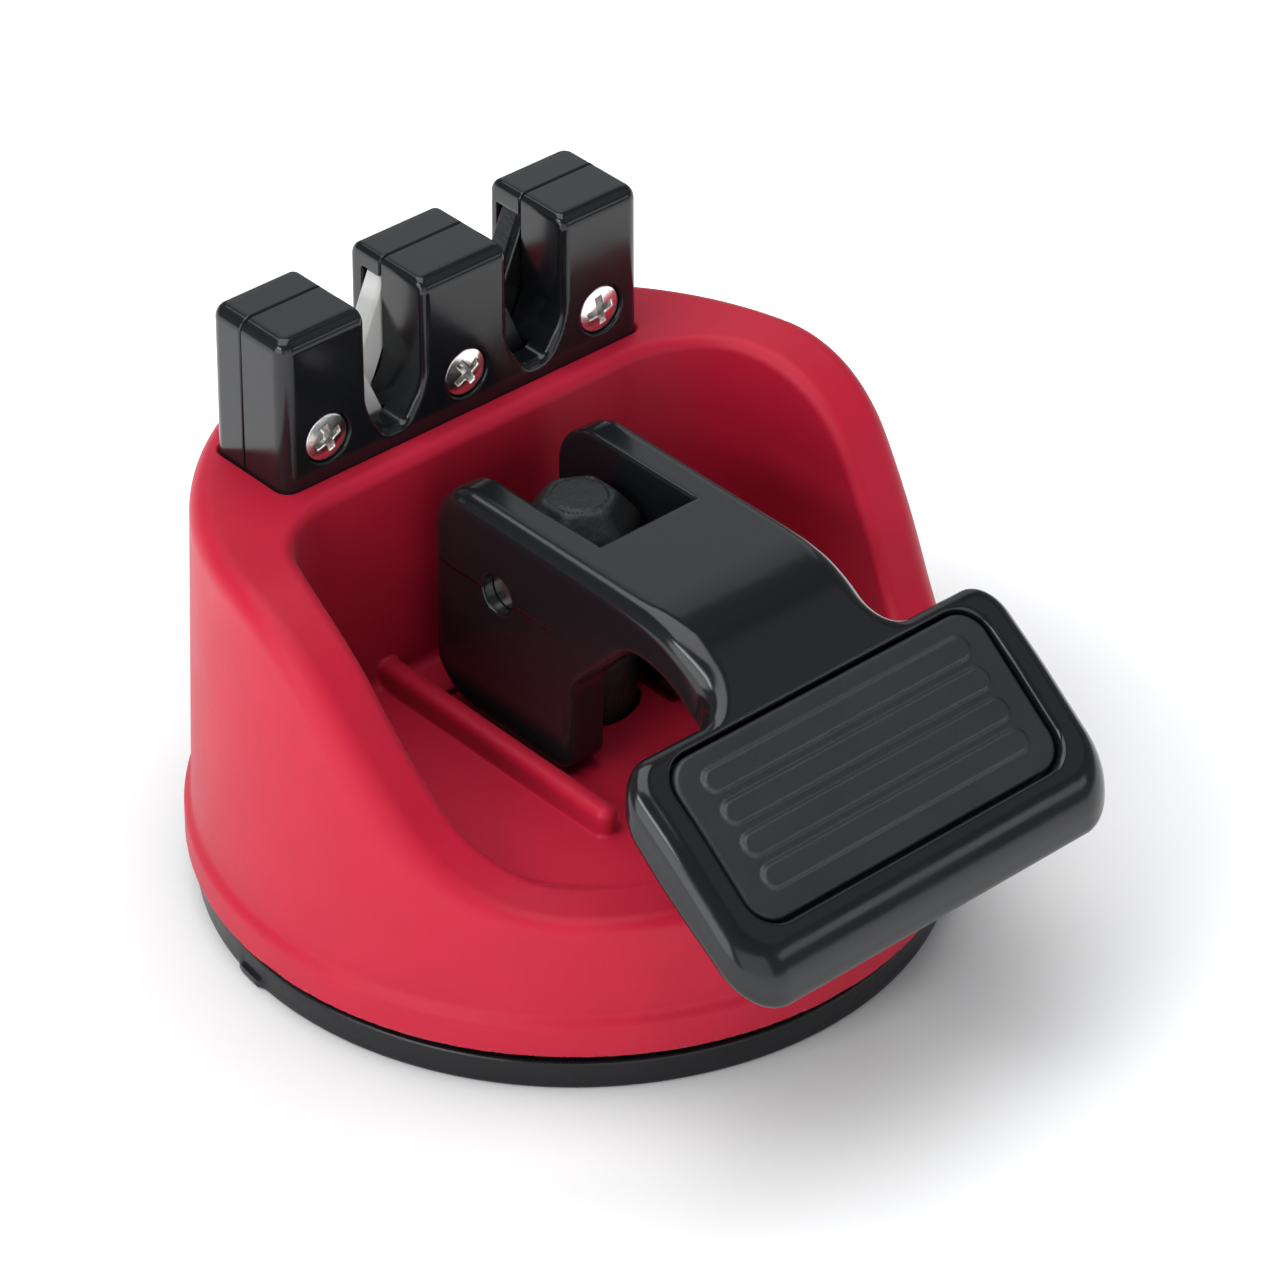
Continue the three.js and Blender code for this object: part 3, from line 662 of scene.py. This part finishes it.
def build_cup():
    """The turned cup, with its rim's foot pushed out into a small pull tab at the left."""
    rim_r, tab_top = 0.45, 1.2
    underside = [(8.2, 3.6), (14, 3.4), (20, 2.8), (26, 1.6), (31, 0.25), (33.5, 0)]
    neck = [(36.8, 3.2), (36.8, 6.0), (34, 6.0), (33, 3.0)]
    topside = [(31, 2.0), (26, 3.9), (20, 4.8), (14, 5.2), (8.2, 5.3)]
    rim = (arc(CUP_R - 0.35, rim_r, rim_r, -90, 0)
           + [(CUP_R + 0.07, 1.0), (CUP_R + 0.06, 1.3)]
           + arc(CUP_R - 0.45, 3.2 - rim_r, rim_r, 0, 90))
    profile = underside + rim + neck + topside
    points, quads = turned_mesh(profile, 360)
    r = np.hypot(points[:, 0], points[:, 1])
    off_tab = np.abs(np.arctan2(points[:, 1], points[:, 0]) - CUP_TAB_ANGLE)
    at_foot = (r > CUP_R - 0.4) * (points[:, 2] < tab_top)
    push = CUP_TAB_REACH * smooth((0.062 - off_tab) / 0.02) * at_foot
    points[:, :2] *= (1 + push / r)[:, None]
    mesh = base_mesh("cup", points, quads)
    mesh.set_sharp_from_angle(angle=math.radians(35))
    add_piece(mesh, RUBBER, "base", "suction_cup")


def finish_cad_pieces():
    """The pin and the hidden screws stay as they are in the CAD, with a finish and softened edges."""
    for node in ("lever_pin", "fixing_screw_left", "fixing_screw_right"):
        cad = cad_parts[node]
        cad.data.materials.clear()
        cad.data.materials.append(ZINC)
        edge = cad.modifiers.new("edge", "BEVEL")
        edge.width, edge.segments = 0.15 * MM, 2


build_housing()
build_lever()
build_block()
build_bars()
build_clamp_screws()
build_stem()
build_cup()
finish_cad_pieces()


# ---------- studio ----------

def build_floor():
    """A wide sheet of pale paper with painted light: it emits light, more the further it is from the part, so
    it burns out to white away from the part.
    """
    reach = 6.0
    mesh = bpy.data.meshes.new("floor")
    corners = [(-reach, -reach, 0), (reach, -reach, 0), (reach, reach, 0), (-reach, reach, 0)]
    mesh.from_pydata(corners, [], [(0, 1, 2, 3)])
    floor = bpy.data.objects.new("floor", mesh)
    bpy.context.scene.collection.objects.link(floor)
    paper = node_material("paper", (0.94, 0.94, 0.945), 0.9, mottle=0.004)
    mesh.materials.append(paper)
    nodes, links = paper.node_tree.nodes, paper.node_tree.links
    # painted light: an emission that grows with distance from the part, lifting the floor and its shadows to
    # white
    floor_painted_glow = nodes.new("ShaderNodeMapRange")
    floor_painted_glow.inputs["From Min"].default_value = 0.046
    floor_painted_glow.inputs["From Max"].default_value = 0.10
    floor_painted_glow.inputs["To Max"].default_value = 0.6
    floor_painted_glow.interpolation_type = "SMOOTHSTEP"
    span = nodes.new("ShaderNodeVectorMath")
    span.operation = "LENGTH"
    links.new(nodes.new("ShaderNodeTexCoord").outputs["Object"], span.inputs[0])
    links.new(span.outputs["Value"], floor_painted_glow.inputs["Value"])
    shader = nodes["Principled BSDF"]
    shader.inputs["Emission Color"].default_value = (1, 1, 1, 1)
    links.new(floor_painted_glow.outputs["Result"], shader.inputs["Emission Strength"])


def softbox(name, location, size, power, color=(1, 1, 1)):
    """A rectangular lamp that faces the middle of the part."""
    data = bpy.data.lights.new(name, "AREA")
    data.shape, data.size, data.size_y = "RECTANGLE", size[0], size[1]
    data.energy, data.color = power, color
    lamp = bpy.data.objects.new(name, data)
    bpy.context.scene.collection.objects.link(lamp)
    lamp.location = location
    lamp.rotation_euler = (Vector((0, 0, 0.03)) - Vector(location)).to_track_quat("-Z", "Y").to_euler()


def build_lamps():
    cool = (0.9, 0.96, 1.0)
    softbox("overhead", (-0.12, 0.14, 1.0), (1.00, 1.00), 8.9)
    softbox("left_strip", (-0.82, -0.04, 0.60), (0.50, 0.13), 2.4)
    softbox("left_card", (-0.95, -0.10, 0.27), (0.9, 0.45), 3.9)
    softbox("back_card", (0.66, 0.72, 0.70), (0.90, 0.70), 1.3, cool)
    softbox("bend_card", (0.60, -0.44, 0.80), (0.60, 0.50), 0.24, cool)
    softbox("front_card", (-0.35, -0.95, 0.25), (1.0, 0.5), 1.6)
    softbox("right_card", (0.60, -0.84, 0.33), (0.40, 0.16), 0.32)


def build_world():
    """White where the camera sees it, and a dim cool dome, brightest at its foot, for everything else."""
    world = bpy.data.worlds.new("studio")
    bpy.context.scene.world = world
    world.use_nodes = True
    tree = world.node_tree
    tree.nodes.clear()
    seen = tree.nodes.new("ShaderNodeBackground")
    seen.inputs["Color"].default_value = (1, 1, 1, 1)
    seen.inputs["Strength"].default_value = 1.0
    lit = tree.nodes.new("ShaderNodeBackground")
    lit.inputs["Strength"].default_value = 0.28
    split = tree.nodes.new("ShaderNodeSeparateXYZ")
    tree.links.new(tree.nodes.new("ShaderNodeTexCoord").outputs["Generated"], split.inputs[0])
    ramp = tree.nodes.new("ShaderNodeValToRGB")
    foot, crown = ramp.color_ramp.elements
    foot.position, foot.color = 0.0, (0.92, 0.97, 1.0, 1)
    crown.position, crown.color = 0.85, (0.42, 0.45, 0.47, 1)
    tree.links.new(split.outputs["Z"], ramp.inputs["Fac"])
    tree.links.new(ramp.outputs["Color"], lit.inputs["Color"])
    mix = tree.nodes.new("ShaderNodeMixShader")
    tree.links.new(tree.nodes.new("ShaderNodeLightPath").outputs["Is Camera Ray"], mix.inputs["Fac"])
    tree.links.new(lit.outputs[0], mix.inputs[1])
    tree.links.new(seen.outputs[0], mix.inputs[2])
    tree.links.new(mix.outputs[0], tree.nodes.new("ShaderNodeOutputWorld").inputs["Surface"])


def build_camera():
    """A long lens, high at the front left."""
    azimuth, elevation, roll = math.radians(-42.236), math.radians(35.529), math.radians(0.496)
    data = bpy.data.cameras.new("camera")
    data.sensor_width = 36
    data.lens = 157.08
    data.clip_start = 0.01
    camera = bpy.data.objects.new("camera", data)
    bpy.context.scene.collection.objects.link(camera)
    facing = (Matrix.Rotation(azimuth, 4, "Z")
              @ Matrix.Rotation(math.pi / 2 - elevation, 4, "X")
              @ Matrix.Rotation(roll, 4, "Z"))
    camera.matrix_world = Matrix.Translation((-0.29417, -0.33354 + BASE_Y, 0.34299)) @ facing
    bpy.context.scene.camera = camera


build_floor()
build_lamps()
build_world()
build_camera()
bpy.context.scene.view_settings.view_transform = "Standard"
